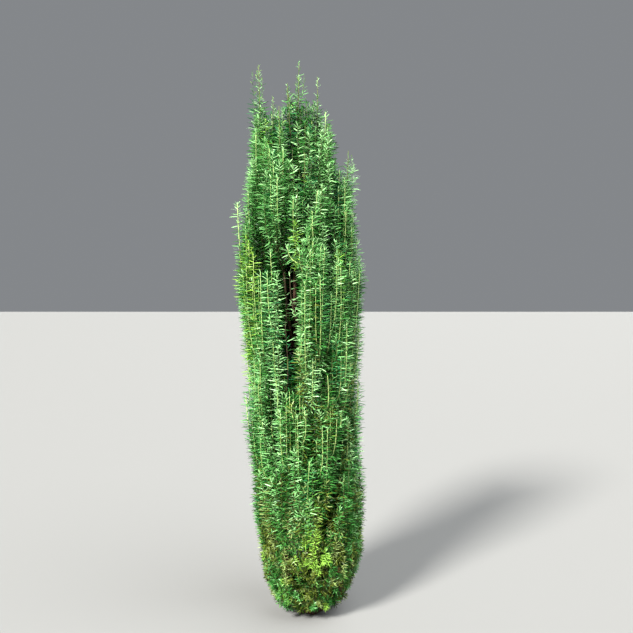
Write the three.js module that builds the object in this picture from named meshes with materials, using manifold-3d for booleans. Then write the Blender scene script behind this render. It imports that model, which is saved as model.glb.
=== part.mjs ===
// A narrow, upright yew. One trunk runs up through the foliage, steep boughs leave it, and plume-shaped
// masses of needle-covered twigs stand round it in four tiers that overlap like shingles.
// Millimetres, +Z up, origin at the middle of the flat cut under the trunk. The front is -Y and +X is right.
// A bearing is in degrees seen from above: 0 is the front, 90 the right, 180 the back and -90 the left.

import * as THREE from "three";
import { mergeVertices } from "three/addons/utils/BufferGeometryUtils.js";
import Module from "manifold-3d";

const wasm = await Module();
wasm.setup();

// Whole plant
const TOP = 2076; // the tip of the leading shoot, without its needles
const GROUND_CLEAR = 4; // the lowest needle stays this far above the ground
const GAP = 0.35; // between solids that meet

// The outline that shows from the front: at each height, where its left and right edges are. In depth the
// crown is as far across as it is wide. Twigs and needles keep to it.
const OUTLINE = [
  { height: 0, left: -125, right: 125 },
  { height: 100, left: -165, right: 155 },
  { height: 240, left: -205, right: 207 },
  { height: 600, left: -251, right: 200 },
  { height: 1030, left: -266, right: 195 },
  { height: 1330, left: -296, right: 202 },
  { height: 1600, left: -265, right: 165 },
  { height: 1900, left: -230, right: 90 },
  { height: 2110, left: -205, right: 40 },
];

// Trunk
const TRUNK_TIP = 1480; // where the leading shoot takes over from the trunk
const TRUNK_RADIUS = 27; // above the root flare
const TRUNK_TIP_RADIUS = 7;
const FLARE = 19; // how much wider the flare is at the ground
const FLARE_HEIGHT = 110;
const FLARE_FADE = 3; // how fast the flare fades: by this power of e over FLARE_HEIGHT
const FLARE_LOBES = 5; // the buttresses of the main roots
const LOBE_DEPTH = 0.13; // share of the radius
const TRUNK_SIDES = 20;
const TRUNK_RINGS = 11;
const CLOSER_DOWN = 1.8; // the power by which the trunk's rings stand closer towards the ground
const LEAN = 58; // how far the trunk leans to the left, reached at LEAN_TOP
const LEAN_TOP = 1300;
const RETURN = 15; // how far the leading shoot comes back to the right

// Boughs and stems
const BOUGH_RADIUS = 9; // where a bough leaves the trunk
const STEM_RADIUS = 6; // where a bough ends and a stem goes on
const BOUGH_SIDES = 5;
const BOUGH_RINGS = 5;
const STEM_SIDES = 6;
const STEM_RINGS = 2;
const BARE_STEM = 0.14; // share of a plume's line without needles, where it has no bough
const NEEDLES_FROM = 0.02; // the needles start this share of the line above the foot of the mass
const STEM_INTO = 0.12; // and the bare stem ends this share of it inside them
const TUCK = 0.06; // a plume's tip leans out by this share of its distance from the trunk
const STEM_CLEAR = 7; // half the least room between two masses' stems

// Sprays: a slim core that some of the needles stand out of
const CORE = 8;
const NEEDLE_REACH = 33; // from the middle of the twig to a needle's tip
const NEEDLE_RISE = 9; // how far a needle's tip stands above its root
const END_RISE = 16; // and how much more at the tip of a twig
const THIN_FROM = 0.6; // share of a twig from where its core thins
const END_CORE = 0.3; // share of the core's radius at the tip
const SHORT_FROM = 0.7; // share of a twig from where its needles are shorter
const END_NEEDLE = 0.5; // share of a needle's reach at the tip
const BARE_CORE = 0.6; // share of the core's radius where a twig has no needles
const SPRAY_SIDES = 6;
const SPRAY_TWIST = THREE.MathUtils.degToRad(17); // from one ring of needles to the next
const RING_PITCH = 63; // between a twig's rings of needles
const SHORTENED = [1, 0.75, 0.5, 0.3]; // tries at a needle that would leave its space
const THINNEST = 0.2; // the least share of the core's radius that is left where room is short
const LIMB_CLEAR = 3; // needles stay this far from a limb

// Side twigs
const MOST_TRIES = 800; // at the twigs of one mass
const TWIG_LENGTH = 250;
const LENGTHS = [0.8, 1.25]; // least and greatest share of that length
const TWIG_FOOT = 0.03; // the lowest twig starts this share of its stem above the foot of the mass
const LAST_START = 0.8; // and the highest starts at this share
const LOW_STARTS = 1.2; // the power by which more twigs start low down
const EDGE_CLEAR = 0.8; // a twig's line stays this share of NEEDLE_REACH inside the outline
const BARE_TWIG = 0.15; // share of a side twig without needles
const TWIG_SPACING = 32;
const SWING = { least: 34, most: 85 }; // how far a side twig runs from its stem
const TWIG_TOP = 0.9; // a side twig ends at this share of its stem at most
const FAN = 110; // a twig leaves its stem up to this many degrees to either side of straight outwards

// The tiers, from the ground up. fork is the height where a plume leaves the trunk. sweep and lift say how
// far out and up its line heads at first, and straight how much of its rise it ends with, as shares. bough
// is the share of the line that is bough, belly the half-width of the fullest part, core the radius inside
// the leading twig, and twigs the most side twigs. A row has the bearing of a plume, how far its tip is from
// the trunk's line, and the tip's height. The plumes of the front and sides stand where they show. Those of
// the back are spaced evenly.
const TIERS = {
  base: {
    fork: 26,
    sweep: 0.95,
    lift: 0.02,
    straight: 0.6,
    bough: 0,
    belly: 62,
    core: 22,
    twigs: 5,
    plumes: [
      ["left", -70, 187, 498],
      ["front_left", -28, 187, 484],
      ["front", 9, 189, 467],
      ["front_right", 50, 194, 480],
      ["right", 90, 203, 492],
    ],
    back: { from: 130, to: 248, count: 4, out: 194, tip: 480 },
  },
  lower: {
    fork: 290,
    sweep: 0.75,
    lift: 0.12,
    straight: 0.45,
    bough: 0,
    belly: 58,
    core: 15,
    twigs: 4,
    plumes: [
      ["left", -84, 206, 849],
      ["front_left", -48, 188, 940],
      ["front", -6, 188, 875],
      ["front_right", 32, 196, 850],
      ["right", 78, 214, 830],
    ],
    back: { from: 108, to: 228, count: 4, out: 188, tip: 890 },
  },
  upper: {
    fork: 450,
    sweep: 0.6,
    lift: 0.12,
    straight: 0.45,
    bough: 0.34,
    belly: 55,
    core: 11,
    twigs: 4,
    plumes: [
      ["left", -81, 221, 1580],
      ["front_left", -26, 190, 1334],
      ["front", 16, 192, 1463],
      ["front_right", 48, 206, 1402],
      ["right", 89, 240, 1380],
    ],
    back: { from: 122, to: 248, count: 4, out: 211, tip: 1450 },
  },
  crown: {
    fork: 930,
    sweep: 0.7,
    lift: 0.14,
    straight: 0.45,
    bough: 0.34,
    belly: 44,
    core: 9,
    twigs: 3,
    plumes: [
      ["left", -78, 150, 2060],
      ["front_left", -38, 112, 1905],
      ["front", 12, 140, 1735],
      ["far_right", 84, 189, 1751],
      ["front_right", 46, 96, 2010],
    ],
    back: { from: 128, to: 232, count: 3, out: 126, tip: 1900 },
  },
};
const LEADER_BEARING = -20; // the side that the leading shoot's twigs favour
const UNEVEN = 0.05; // the back's tips differ by this share of their height
const UNEVEN_STEP = 2.4; // in radians, from one of them to the next
const FORK_STEP = 55; // neighbouring plumes leave the trunk at heights this far apart

const COLOURS = {
  bark: 0x6b4a38,
  base: 0x4f7434,
  lower: 0x3f7036,
  upper: 0x44793b,
  crown: 0x3c7040,
};

const UP = new THREE.Vector3(0, 0, 1);
const { smoothstep, degToRad, lerp, clamp } = THREE.MathUtils;

// The same draws follow from the same seed, here and wherever the rule is written again.
function seeded(seed) {
  let state = (seed * 2654435761 + 12345) % 4294967296;
  return () => {
    state = (state * 1664525 + 1013904223) % 4294967296;
    return state / 4294967296;
  };
}

function heading(bearing) {
  const angle = degToRad(bearing);
  return new THREE.Vector3(Math.sin(angle), -Math.cos(angle), 0);
}

// The line that the trunk and the leading shoot follow
function trunkLine(height) {
  const lean = -LEAN * smoothstep(height, 0, LEAN_TOP) + RETURN * smoothstep(height, LEAN_TOP, TOP);
  return new THREE.Vector3(lean, 0, height);
}

function count(length, make) {
  return Array.from({ length }, (_, k) => make(k));
}

// How far a point is from the crown's outline, on the inside
function depthInside({ x, y, z }) {
  const above = Math.max(1, OUTLINE.findIndex(({ height }) => height > z));
  const [below, next] = [OUTLINE[above - 1], OUTLINE[above]];
  const share = (z - below.height) / (next.height - below.height);
  const left = lerp(below.left, next.left, share);
  const right = lerp(below.right, next.right, share);
  return (right - left) / 2 - Math.hypot(x - (left + right) / 2, y);
}

// A closed solid through rings of points that run counterclockwise about the way the rings go. Where spiky is
// true, every other point is a needle's tip, and each quad is split along its two other points.
function skin(rings, spiky = false) {
  const sides = rings[0].length;
  const points = rings.flat();
  const middleOf = (ring) => ring.reduce((sum, p) => sum.add(p), new THREE.Vector3()).divideScalar(sides);
  const foot = points.push(middleOf(rings[0])) - 1;
  const tip = points.push(middleOf(rings.at(-1))) - 1;
  const faces = [];
  for (let i = 0; i < sides; i++) {
    const next = (i + 1) % sides;
    faces.push(foot, next, i);
    for (let k = 0; k < rings.length - 1; k++) {
      const [a, b] = [k * sides + i, k * sides + next];
      const [c, d] = [b + sides, a + sides];
      if (spiky && (i + k) % 2 === 0) faces.push(a, b, d, b, c, d);
      else faces.push(a, b, c, a, c, d);
    }
    const last = (rings.length - 1) * sides;
    faces.push(tip, last + i, last + next);
  }
  const merged = mergeVertices(new THREE.BufferGeometry().setFromPoints(points).setIndex(faces), 1e-4);
  return new wasm.Manifold(
    new wasm.Mesh({
      numProp: 3,
      vertProperties: merged.attributes.position.array,
      triVerts: new Uint32Array(merged.index.array),
    }),
  );
}

function toMesh(name, solid, colour) {
  const { numProp, vertProperties, triVerts } = solid.getMesh();
  const geometry = new THREE.BufferGeometry();
  geometry.setAttribute("position", new THREE.BufferAttribute(vertProperties, numProp));
  geometry.setIndex(new THREE.BufferAttribute(triVerts, 1));
  geometry.computeVertexNormals();
  const finish = { roughness: 0.6, metalness: 0, flatShading: true };
  const material = new THREE.MeshStandardMaterial({ color: colour, ...finish });
  const mesh = new THREE.Mesh(geometry, material);
  mesh.name = name;
  return mesh;
}

// The largest of the bodies that cutting has left
function largest(solid) {
  return solid.decompose().reduce((best, body) => (body.volume() > best.volume() ? body : best));
}

// The part of a curve between two shares of it
function stretch(curve, from, to) {
  return new THREE.CatmullRomCurve3(count(9, (k) => curve.getPoint(lerp(from, to, k / 8))));
}

// Places along a curve, each with its point, the way on, and the directions across it
function placesAlong(curve, rings) {
  const { tangents, normals, binormals } = curve.computeFrenetFrames(rings, false);
  return count(rings + 1, (k) => ({
    share: k / rings,
    point: curve.getPointAt(k / rings),
    along: tangents[k],
    across: (angle) =>
      normals[k].clone().multiplyScalar(Math.cos(angle)).addScaledVector(binormals[k], Math.sin(angle)),
  }));
}

// A tapering limb. It is kept as a line with a radius too, so that needles can stay clear of it.
function limb(curve, from, to, sides, rings) {
  const places = placesAlong(curve, rings);
  const wider = (extra) =>
    skin(
      places.map(({ point, share, across }) => {
        const radius = lerp(from, to, share) + extra;
        return count(sides, (i) => point.clone().addScaledVector(across((2 * Math.PI * i) / sides), radius));
      }),
    );
  const line = places.map(({ point, share }) => ({ point, radius: lerp(from, to, share) }));
  return { solid: wider(0), cut: wider(GAP), line };
}

function distanceToLine(point, line) {
  let nearest = Infinity;
  for (let k = 0; k < line.length - 1; k++) {
    const piece = new THREE.Line3(line[k].point, line[k + 1].point);
    const share = piece.closestPointToPointParameter(point, true);
    const beside = piece.at(share, new THREE.Vector3());
    nearest = Math.min(nearest, beside.distanceTo(point) - lerp(line[k].radius, line[k + 1].radius, share));
  }
  return nearest;
}

// The trunk, from its flat cut to the leading shoot. All rings are level and stand closer in the flare.
function makeTrunk() {
  const radiusAt = (height, angle) => {
    const flare = FLARE * Math.exp((-FLARE_FADE * height) / FLARE_HEIGHT);
    const lobes = 1 + LOBE_DEPTH * Math.cos(FLARE_LOBES * angle) * Math.exp(-height / FLARE_HEIGHT);
    return (lerp(TRUNK_RADIUS, TRUNK_TIP_RADIUS, height / TRUNK_TIP) + flare) * lobes;
  };
  const heights = count(TRUNK_RINGS + 1, (k) => TRUNK_TIP * (k / TRUNK_RINGS) ** CLOSER_DOWN);
  const wider = (extra) =>
    skin(
      heights.map((height) =>
        count(TRUNK_SIDES, (i) => {
          const angle = (2 * Math.PI * i) / TRUNK_SIDES;
          const side = new THREE.Vector3(Math.cos(angle), Math.sin(angle), 0);
          return trunkLine(height).addScaledVector(side, radiusAt(height, angle) + extra);
        }),
      ),
    );
  const line = heights.map((height) => ({ point: trunkLine(height), radius: radiusAt(height, 0) }));
  return { solid: wider(0), cut: wider(GAP), line };
}

// The rows of TIERS as plumes. The line of each runs from the trunk's own line to the plume's tip.
function layOutPlumes() {
  const plumes = [];
  for (const [tier, spec] of Object.entries(TIERS)) {
    const { from, to, count: many, out: backOut, tip: backTip } = spec.back;
    const behind = count(many, (k) => [
      `back_${k + 1}`,
      lerp(from, to, k / (many - 1)),
      backOut,
      backTip * (1 + UNEVEN * Math.cos(UNEVEN_STEP * (k + 1))),
    ]);
    [...spec.plumes, ...behind].forEach(([place, bearing, out, height], index) => {
      const away = heading(bearing);
      const fork = trunkLine(spec.fork + FORK_STEP * (spec.bough ? index % 3 : 0));
      const tip = trunkLine(height).addScaledVector(away, out);
      const rise = tip.z - fork.z;
      const line = new THREE.CubicBezierCurve3(
        fork,
        fork.clone().addScaledVector(away, out * spec.sweep).addScaledVector(UP, rise * spec.lift),
        tip.clone().addScaledVector(away, -TUCK * out).addScaledVector(UP, -spec.straight * rise),
        tip,
      );
      plumes.push({ name: `${tier}_${place}`, tier, spec, away, tip, line, bough: spec.bough });
    });
  }
  const [start, tip] = [trunkLine(TRUNK_TIP + GAP), trunkLine(TOP)];
  const between = [0.3, 0.7].map((share) => start.clone().lerp(tip, share));
  const line = new THREE.CubicBezierCurve3(start, ...between, tip);
  const leader = { name: "crown_leader", tier: "crown", spec: TIERS.crown, bough: 0, leads: true };
  plumes.push({ ...leader, away: heading(LEADER_BEARING), tip, line });
  plumes.forEach((plume, index) => (plume.seed = index + 1));
  return plumes;
}

// Where the mass starts on its plume's line
function footShare(plume) {
  return plume.leads ? 0 : Math.max(plume.bough, BARE_STEM);
}

// Points round a plume that its space has to hold: its line, and a belly that is fuller or slimmer
function outlineOf(plume, fullness) {
  const foot = footShare(plume);
  const onLine = count(7, (k) => plume.line.getPoint(lerp(foot, 1, k / 6)));
  const belly = [0.5, 0.8].flatMap((share) =>
    count(8, (k) => {
      const side = heading(45 * k);
      return plume.line.getPoint(lerp(foot, 1, share)).addScaledVector(side, plume.spec.belly * fullness);
    }),
  );
  return [...onLine, ...belly];
}

function furthest(points, way) {
  return points.reduce((best, point) => (point.dot(way) > best.dot(way) ? point : best));
}

// The plane midway between two plumes, with the fullest bellies that leave room for one
function wallBetween(p, q) {
  for (let fullness = 1; fullness > -0.01; fullness -= 0.1) {
    const [here, there] = [outlineOf(p, fullness), outlineOf(q, fullness)];
    const way = there[3].clone().sub(here[3]);
    for (let step = 0; step < 150; step++) {
      const edge = furthest(there, way.clone().negate()).clone().sub(furthest(here, way)).sub(way);
      way.addScaledVector(edge, clamp(-way.dot(edge) / (edge.lengthSq() || 1), 0, 1));
    }
    way.normalize();
    const from = furthest(here, way).dot(way);
    const to = furthest(there, way.clone().negate()).dot(way);
    if (to - from > 2 * STEM_CLEAR) return { way, middle: (from + to) / 2 };
  }
  throw new Error(`${p.name} and ${q.name} have no room for a wall between them`);
}

// The spaces are convex and share nothing, so solids whose points keep to their own never overlap.
function layOutSpaces(plumes) {
  for (const plume of plumes) plume.walls = [];
  plumes.forEach((p, index) => {
    for (const q of plumes.slice(index + 1)) {
      const { way, middle } = wallBetween(p, q);
      p.walls.push({ way, middle });
      q.walls.push({ way: way.clone().negate(), middle: -middle });
    }
  });
}

function isInside(plume, point, margin) {
  const isAboveGround = point.z > GROUND_CLEAR + margin;
  return isAboveGround && plume.walls.every(({ way, middle }) => way.dot(point) < middle - margin);
}

// A twig and its needles, along a curve. fits says whether a point keeps to the twig's own room.
function spray(curve, core, bare, fits) {
  const rings = Math.max(4, Math.round(curve.getLength() / RING_PITCH));
  return skin(
    placesAlong(curve, rings).map(({ point, share, along, across }, k) => {
      const thinner = lerp(1, END_CORE, smoothstep(share, THIN_FROM, 1));
      const radius = share < bare ? CORE * BARE_CORE : core * thinner;
      const atEnd = smoothstep(share, SHORT_FROM, 1);
      const needle = NEEDLE_REACH * lerp(1, END_NEEDLE, atEnd);
      const rise = NEEDLE_RISE + END_RISE * atEnd;
      return count(SPRAY_SIDES, (i) => {
        const side = across((2 * Math.PI * i) / SPRAY_SIDES + k * SPRAY_TWIST);
        const rootAt = (part) => point.clone().addScaledVector(side, radius * part);
        const root = rootAt(SHORTENED.find((part) => fits(rootAt(part))) ?? THINNEST);
        if ((i + k) % 2 || k === 0 || share < bare) return root;
        const tip = point.clone().addScaledVector(side, needle).addScaledVector(along, rise);
        const onWay = (part) => root.clone().lerp(tip, part);
        return onWay(SHORTENED.find((part) => fits(onWay(part / 2)) && fits(onWay(part))) ?? 0);
      });
    }),
    true,
  );
}

// A side twig swings out from its stem and then runs alongside it.
function twigCurve(plume, from, to, way, out) {
  const pointAt = (share) => {
    const swing = out * (1 - (1 - share) ** 3);
    return plume.line.getPoint(lerp(from, to, share)).addScaledVector(way, swing);
  };
  return new THREE.CatmullRomCurve3(count(8, (k) => pointAt(k / 7)));
}

// The side twigs of a mass: draws are made by its seed, and kept where there is room
function growTwigs(plume, isClear) {
  const draw = seeded(plume.seed);
  const foot = footShare(plume);
  const length = plume.line.getLength();
  const stem = count(13, (k) => ({ point: plume.line.getPoint(lerp(foot, 1, k / 12)), radius: 0 }));
  const twigs = [];
  for (let attempt = 0; attempt < MOST_TRIES && twigs.length < plume.spec.twigs; attempt++) {
    const from = lerp(foot + TWIG_FOOT, LAST_START, draw() ** LOW_STARTS);
    const to = Math.min(from + (TWIG_LENGTH * lerp(...LENGTHS, draw())) / length, TWIG_TOP);
    const way = plume.away.clone().applyAxisAngle(UP, degToRad(FAN * (2 * draw() - 1)));
    const curve = twigCurve(plume, from, to, way, lerp(SWING.least, SWING.most, draw()));
    const line = count(9, (k) => ({ point: curve.getPoint(k / 8), radius: 0 }));
    const others = [stem, ...twigs.map((twig) => twig.line)];
    const hasRoom = line.slice(3).every(
      ({ point }) =>
        isInside(plume, point, CORE + GAP) &&
        depthInside(point) > NEEDLE_REACH * EDGE_CLEAR &&
        isClear(point, CORE + LIMB_CLEAR) &&
        others.every((other) => distanceToLine(point, other) > TWIG_SPACING),
    );
    if (hasRoom) twigs.push({ curve, line });
  }
  return { stem, twigs };
}

// One mass of foliage: a stem that carries on from its bough or the trunk, and twigs, fused
function makeMass(plume, limbs) {
  const isClear = (point, margin) => limbs.every(({ line }) => distanceToLine(point, line) > margin);
  const { stem, twigs } = growTwigs(plume, isClear);
  const lines = [stem, ...twigs.map((twig) => twig.line)];
  const fitsFor = (own) => (point) =>
    isInside(plume, point, GAP / 2) &&
    depthInside(point) > 0 &&
    isClear(point, LIMB_CLEAR) &&
    lines.every((line) => line === own || distanceToLine(point, line) > distanceToLine(point, own));

  const start = plume.bough ? plume.bough + GAP / plume.line.getLength() : 0;
  const foot = footShare(plume);
  const leader = stretch(plume.line, plume.leads ? 0 : foot + NEEDLES_FROM, 1);
  const parts = [spray(leader, plume.spec.core, 0, fitsFor(stem))];
  if (!plume.leads) {
    const bare = stretch(plume.line, start, foot + STEM_INTO);
    parts.push(limb(bare, STEM_RADIUS, STEM_RADIUS, STEM_SIDES, STEM_RINGS).solid);
  }
  for (const { curve, line } of twigs) parts.push(spray(curve, CORE, BARE_TWIG, fitsFor(line)));

  const fused = wasm.Manifold.union(parts);
  return largest(limbs.reduce((solid, { cut }) => solid.subtract(cut), fused));
}

const plumes = layOutPlumes();
layOutSpaces(plumes);
const trunk = makeTrunk();
const limbs = [trunk];
const yew = new THREE.Group();
yew.add(toMesh("trunk", trunk.solid, COLOURS.bark));

for (const plume of plumes.filter(({ bough }) => bough)) {
  const line = stretch(plume.line, 0, plume.bough);
  const bough = limb(line, BOUGH_RADIUS, STEM_RADIUS, BOUGH_SIDES, BOUGH_RINGS);
  limbs.push(bough);
  yew.add(toMesh(`bough_${plume.name}`, largest(bough.solid.subtract(trunk.cut)), COLOURS.bark));
}
for (const plume of plumes) {
  yew.add(toMesh(`foliage_${plume.name}`, makeMass(plume, limbs), COLOURS[plume.tier]));
}

export default yew;
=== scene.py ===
# The yew as it looks: its bark, finer twigs and needles, grown by the part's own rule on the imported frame.
# The rule is in millimetres, as in the part's source. Meshes are in metres.

import math

import bpy
import numpy as np
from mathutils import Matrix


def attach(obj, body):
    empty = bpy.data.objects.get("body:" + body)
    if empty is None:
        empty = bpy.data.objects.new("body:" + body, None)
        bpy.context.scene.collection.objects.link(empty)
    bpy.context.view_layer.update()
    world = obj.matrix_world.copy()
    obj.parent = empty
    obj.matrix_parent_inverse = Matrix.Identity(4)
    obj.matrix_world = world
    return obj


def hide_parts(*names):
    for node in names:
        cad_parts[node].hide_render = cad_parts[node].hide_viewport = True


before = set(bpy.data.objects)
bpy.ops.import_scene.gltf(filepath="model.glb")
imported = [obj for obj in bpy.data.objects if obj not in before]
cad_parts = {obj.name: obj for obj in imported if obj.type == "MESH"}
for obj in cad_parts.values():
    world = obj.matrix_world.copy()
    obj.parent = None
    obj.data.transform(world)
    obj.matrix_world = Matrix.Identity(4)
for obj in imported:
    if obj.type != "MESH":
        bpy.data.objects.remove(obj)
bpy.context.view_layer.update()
MM = 0.001

# The part's sizes and rule, under the names of its source, where comments say what each is
TOP = 2076
GROUND_CLEAR = 4
GAP = 0.35

# The outline from the front. In depth the crown is as far across as it is wide.
OUTLINE = np.array([
    # height, left, right
    [0, -125, 125],
    [100, -165, 155],
    [240, -205, 207],
    [600, -251, 200],
    [1030, -266, 195],
    [1330, -296, 202],
    [1600, -265, 165],
    [1900, -230, 90],
    [2110, -205, 40],
])

TRUNK_TIP = 1480
TRUNK_RADIUS = 27
TRUNK_TIP_RADIUS = 7
FLARE = 19
FLARE_HEIGHT = 110
FLARE_FADE = 3
FLARE_LOBES = 5
LOBE_DEPTH = 0.13
TRUNK_RINGS = 11
CLOSER_DOWN = 1.8
LEAN = 58
LEAN_TOP = 1300
RETURN = 15

BOUGH_RADIUS = 9
STEM_RADIUS = 6
BOUGH_RINGS = 5
BARE_STEM = 0.14
TUCK = 0.06
STEM_CLEAR = 7

CORE = 8
NEEDLE_REACH = 33
LIMB_CLEAR = 3

MOST_TRIES = 800
TWIG_LENGTH = 250
LENGTHS = (0.8, 1.25)
TWIG_FOOT = 0.03
LAST_START = 0.8
LOW_STARTS = 1.2
EDGE_CLEAR = 0.8
TWIG_SPACING = 32
SWING = (34, 85)
TWIG_TOP = 0.9
FAN = 110

# The tiers, from the ground up. A row has the bearing of a plume, how far its tip is from the trunk's line
# and the tip's height. back has the first bearing and the last, how many, and their distance and height.
TIERS = {
    "base": dict(
        fork=26, sweep=0.95, lift=0.02, straight=0.6, bough=0, belly=62, twigs=5,
        plumes=[
            ("left", -70, 187, 498), ("front_left", -28, 187, 484), ("front", 9, 189, 467),
            ("front_right", 50, 194, 480), ("right", 90, 203, 492),
        ],
        back=(130, 248, 4, 194, 480),
    ),
    "lower": dict(
        fork=290, sweep=0.75, lift=0.12, straight=0.45, bough=0, belly=58, twigs=4,
        plumes=[
            ("left", -84, 206, 849), ("front_left", -48, 188, 940), ("front", -6, 188, 875),
            ("front_right", 32, 196, 850), ("right", 78, 214, 830),
        ],
        back=(108, 228, 4, 188, 890),
    ),
    "upper": dict(
        fork=450, sweep=0.6, lift=0.12, straight=0.45, bough=0.34, belly=55, twigs=4,
        plumes=[
            ("left", -81, 221, 1580), ("front_left", -26, 190, 1334), ("front", 16, 192, 1463),
            ("front_right", 48, 206, 1402), ("right", 89, 240, 1380),
        ],
        back=(122, 248, 4, 211, 1450),
    ),
    "crown": dict(
        fork=930, sweep=0.7, lift=0.14, straight=0.45, bough=0.34, belly=44, twigs=3,
        plumes=[
            ("left", -78, 150, 2060), ("front_left", -38, 112, 1905), ("front", 12, 140, 1735),
            ("far_right", 84, 189, 1751), ("front_right", 46, 96, 2010),
        ],
        back=(128, 232, 3, 126, 1900),
    ),
}
LEADER_BEARING = -20
UNEVEN = 0.05
UNEVEN_STEP = 2.4
FORK_STEP = 55
FORKS = 3

CURVE_POINTS = 60
DENSE_POINTS = 400
LINE_POINTS = 7
BELLY_SHARES = (0.5, 0.8)
BELLY_SIDES = 8
WALL_STEPS = 150
FINE_POINTS = 201
STEM_POINTS = 13
TWIG_POINTS = 9
TWIG_FREE = 3  # from this point on a twig keeps its distances
UP = np.array([0.0, 0.0, 1.0])

# The crown's stems and a few shoots lead its foliage by this, thin and with short needles
LEADING = 90
LEADS = {"crown_leader": 108, "crown_left": 115, "crown_front_right": 100, "crown_far_right": 45}


def smoothstep(x, low, high):
    t = np.clip((x - low) / (high - low), 0, 1)
    return t * t * (3 - 2 * t)


def lerp(a, b, t):
    return a + (b - a) * t


def unit(vectors):
    return vectors / np.linalg.norm(vectors, axis=-1, keepdims=True)


def seeded(seed):
    """Draws as in the part's source, from the same seed"""
    state = (seed * 2654435761 + 12345) % 2**32

    def draw():
        nonlocal state
        state = (state * 1664525 + 1013904223) % 2**32
        return state / 2**32

    return draw


def heading(bearing):
    """The level direction of a bearing: 0 is the front, 90 the right"""
    angle = math.radians(bearing)
    return np.array([math.sin(angle), -math.cos(angle), 0.0])


def turned(way, degrees):
    c, s = math.cos(math.radians(degrees)), math.sin(math.radians(degrees))
    return np.array([c * way[0] - s * way[1], s * way[0] + c * way[1], 0.0])


def level(angle):
    return np.stack([np.cos(angle), np.sin(angle), 0 * angle], axis=1)


def swung_out(share):
    """How far out of its way a twig is, by its length"""
    return 1 - (1 - share) ** 3


def trunk_line(height):
    """The line that the trunk and the leading shoot follow"""
    lean = -LEAN * smoothstep(height, 0, LEAN_TOP) + RETURN * smoothstep(height, LEAN_TOP, TOP)
    return np.stack([lean, np.zeros_like(lean), np.asarray(height, float)], axis=-1)


def trunk_radius(height, angle):
    flare = FLARE * np.exp(-FLARE_FADE * height / FLARE_HEIGHT)
    lobes = 1 + LOBE_DEPTH * np.cos(FLARE_LOBES * angle) * np.exp(-height / FLARE_HEIGHT)
    return (lerp(TRUNK_RADIUS, TRUNK_TIP_RADIUS, height / TRUNK_TIP) + flare) * lobes


def outline_at(heights):
    """Where the crown's left and right edges are"""
    return [np.interp(heights, OUTLINE[:, 0], OUTLINE[:, side]) for side in (1, 2)]


def depth_inside(points):
    """How far points are from the crown's outline, on the inside"""
    left, right = outline_at(points[:, 2])
    return (right - left) / 2 - np.hypot(points[:, 0] - (left + right) / 2, points[:, 1])


def bezier(corners, t):
    t = np.atleast_1d(t)[:, None]
    a, b, c, d = corners
    return (1 - t) ** 3 * a + 3 * (1 - t) ** 2 * t * b + 3 * (1 - t) * t**2 * c + t**3 * d


def resampled(points, count):
    """The polyline again, in evenly spaced points"""
    steps = np.linalg.norm(np.diff(points, axis=0), axis=1)
    at = np.concatenate([[0], np.cumsum(steps)])
    wanted = np.linspace(0, at[-1], count)
    return np.stack([np.interp(wanted, at, points[:, k]) for k in range(3)], axis=1)


def length_of(points):
    return float(np.linalg.norm(np.diff(points, axis=0), axis=1).sum())


def segments_of(points, radii=None):
    radii = np.zeros(len(points)) if radii is None else radii
    return points[:-1], points[1:], np.stack([radii[:-1], radii[1:]], axis=1)


def joined_segments(groups):
    return tuple(np.concatenate(parts) for parts in zip(*groups))


def distance_to_segments(points, segments):
    """How far each point is from the nearest of the segments, less the segment's radius there"""
    starts, ends, radii = segments
    along = ends - starts
    share = ((points[:, None] - starts) * along).sum(2) / np.maximum((along**2).sum(1), 1e-9)
    share = np.clip(share, 0, 1)
    nearest = starts + share[..., None] * along
    gap = np.linalg.norm(points[:, None] - nearest, axis=2)
    return (gap - lerp(radii[:, 0], radii[:, 1], share)).min(1)


# Plumes and the spaces that they keep to
def rows_of(spec):
    """A tier's plumes: those of the front and sides, and those of the back, evenly spaced"""
    first, last, many, out, height = spec["back"]
    bearings = [lerp(first, last, k / (many - 1)) for k in range(many)]
    heights = [height * (1 + UNEVEN * math.cos(UNEVEN_STEP * (k + 1))) for k in range(many)]
    return spec["plumes"] + [(f"back_{k + 1}", bearings[k], out, heights[k]) for k in range(many)]


def corners_of(spec, index, bearing, out, height):
    """The corners of a plume's curve, from the trunk's line to the plume's tip"""
    away = heading(bearing)
    fork = trunk_line(spec["fork"] + FORK_STEP * (index % FORKS if spec["bough"] else 0))
    tip = trunk_line(height) + away * out
    rise = tip[2] - fork[2]
    return (
        fork,
        fork + away * out * spec["sweep"] + UP * rise * spec["lift"],
        tip - away * TUCK * out - UP * spec["straight"] * rise,
        tip,
    )


def lay_out_plumes():
    """The rows of TIERS as plumes, and the leading shoot. Above closed there are only leading shoots."""
    plumes = []
    for tier, spec in TIERS.items():
        for index, (place, bearing, out, height) in enumerate(rows_of(spec)):
            corners = corners_of(spec, index, bearing, out, height)
            plumes.append(dict(name=f"{tier}_{place}", tier=tier, away=heading(bearing), corners=corners))
    start, tip = trunk_line(TRUNK_TIP + GAP), trunk_line(TOP)
    corners = (start, lerp(start, tip, 0.3), lerp(start, tip, 0.7), tip)
    plumes.append(dict(name="crown_leader", tier="crown", away=heading(LEADER_BEARING), corners=corners))
    for index, plume in enumerate(plumes):
        leads = plume["name"] == "crown_leader"
        lead = LEADS.get(plume["name"], LEADING)
        plume["seed"] = index + 1
        plume["spec"] = TIERS[plume["tier"]]
        plume["bough"] = 0 if leads else plume["spec"]["bough"]
        plume["foot"] = 0 if leads else max(plume["bough"], BARE_STEM)
        plume["closed"] = plume["corners"][3][2] - lead if plume["tier"] == "crown" else 2 * TOP
    return plumes


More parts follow.
